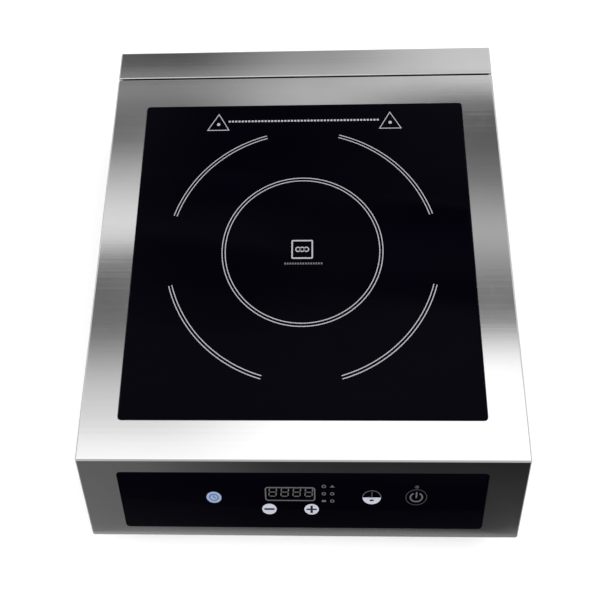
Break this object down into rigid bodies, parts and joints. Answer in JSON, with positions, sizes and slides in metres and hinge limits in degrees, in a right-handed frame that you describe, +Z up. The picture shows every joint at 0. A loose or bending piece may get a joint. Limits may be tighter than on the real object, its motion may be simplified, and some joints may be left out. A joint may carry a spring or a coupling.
{
  "type": "counter-top induction hob",
  "caption": "Low square-topped counter-top cooker with a flush black glass plate, steel surround and a forward-sloping touch panel, on short feet.",
  "frame": {"origin": "on the ground, under the centre of the object's bounding box", "axes": "+Z up, +X to the user's right when facing the controls, -Y towards the user, so the control face is at -Y"},
  "size_m": [0.34, 0.4394, 0.1005],
  "materials": {
    "brushed_steel": "fine satin brushing",
    "zinc_steel": "zinc plated, semi-matt",
    "ceramic_glass": "opaque black, high gloss, pale printed marks",
    "silicone": "matt black",
    "mica": "matt, speckled",
    "litz_copper": "enamelled stranded copper",
    "former_plastic": "glass-filled, matt",
    "ferrite": "sintered, dull",
    "white_plastic": "moulded, matt",
    "brass": "machined",
    "fan_plastic": "moulded, satin",
    "circuit_board": "solder mask, satin",
    "aluminium": "extruded, satin",
    "black_epoxy": "moulded epoxy",
    "capacitor_case": "gloss",
    "nylon": "matt",
    "foot_rubber": "matt",
    "conductive_foam": "soft, matt"
  },
  "bodies": {
    "housing": {"top_cover": "brushed_steel", "rear_cover": "brushed_steel", "base_tray": "brushed_steel", "glass_frame": "zinc_steel", "coil_post_1": "zinc_steel", "coil_post_2": "zinc_steel", "coil_post_3": "zinc_steel", "rear_screw_left": "zinc_steel", "rear_screw_right": "zinc_steel", "foot_screw_front_left": "zinc_steel", "foot_screw_front_right": "zinc_steel", "foot_screw_rear_left": "zinc_steel", "foot_screw_rear_right": "zinc_steel", "glass_top": "ceramic_glass", "control_glass": "ceramic_glass", "glass_seal": "silicone", "mica_sheet": "mica", "coil_winding": "litz_copper", "filter_choke": "litz_copper", "coil_former": "former_plastic", "board_carrier": "former_plastic", "control_carrier": "former_plastic", "ferrite_bar_1": "ferrite", "ferrite_bar_2": "ferrite", "ferrite_bar_3": "ferrite", "ferrite_bar_4": "ferrite", "aux_transformer": "ferrite", "sensor_holder": "white_plastic", "terminal_block": "white_plastic", "thermistor": "brass", "bonding_stud": "brass", "fan_frame_left": "fan_plastic", "fan_frame_right": "fan_plastic", "power_board": "circuit_board", "filter_board": "circuit_board", "control_board": "circuit_board", "heat_sink": "aluminium", "transistor_left": "black_epoxy", "transistor_right": "black_epoxy", "rectifier": "black_epoxy", "smoothing_capacitor": "black_epoxy", "display_module": "black_epoxy", "indicator_guide": "black_epoxy", "resonance_capacitor": "capacitor_case", "link_capacitor": "capacitor_case", "cable_gland": "nylon", "gland_nut": "nylon", "foot_front_left": "foot_rubber", "foot_front_right": "foot_rubber", "foot_rear_left": "foot_rubber", "foot_rear_right": "foot_rubber", "touch_pad_timer": "conductive_foam", "touch_pad_minus": "conductive_foam", "touch_pad_plus": "conductive_foam", "touch_pad_mode": "conductive_foam", "touch_pad_power": "conductive_foam"},
    "fan_left": {"fan_rotor_left": "fan_plastic", "fan_shaft_left": "zinc_steel"},
    "fan_right": {"fan_rotor_right": "fan_plastic", "fan_shaft_right": "zinc_steel"}
  },
  "joints": [
    {"name": "fan_spin_left", "type": "hinge", "parent": "housing", "child": "fan_left", "pos_m": [-0.056, -0.086, 0.034], "axis": [0, 0, 1], "continuous": true},
    {"name": "fan_spin_right", "type": "hinge", "parent": "housing", "child": "fan_right", "pos_m": [0.056, -0.086, 0.034], "axis": [0, 0, 1], "continuous": true}
  ]
}
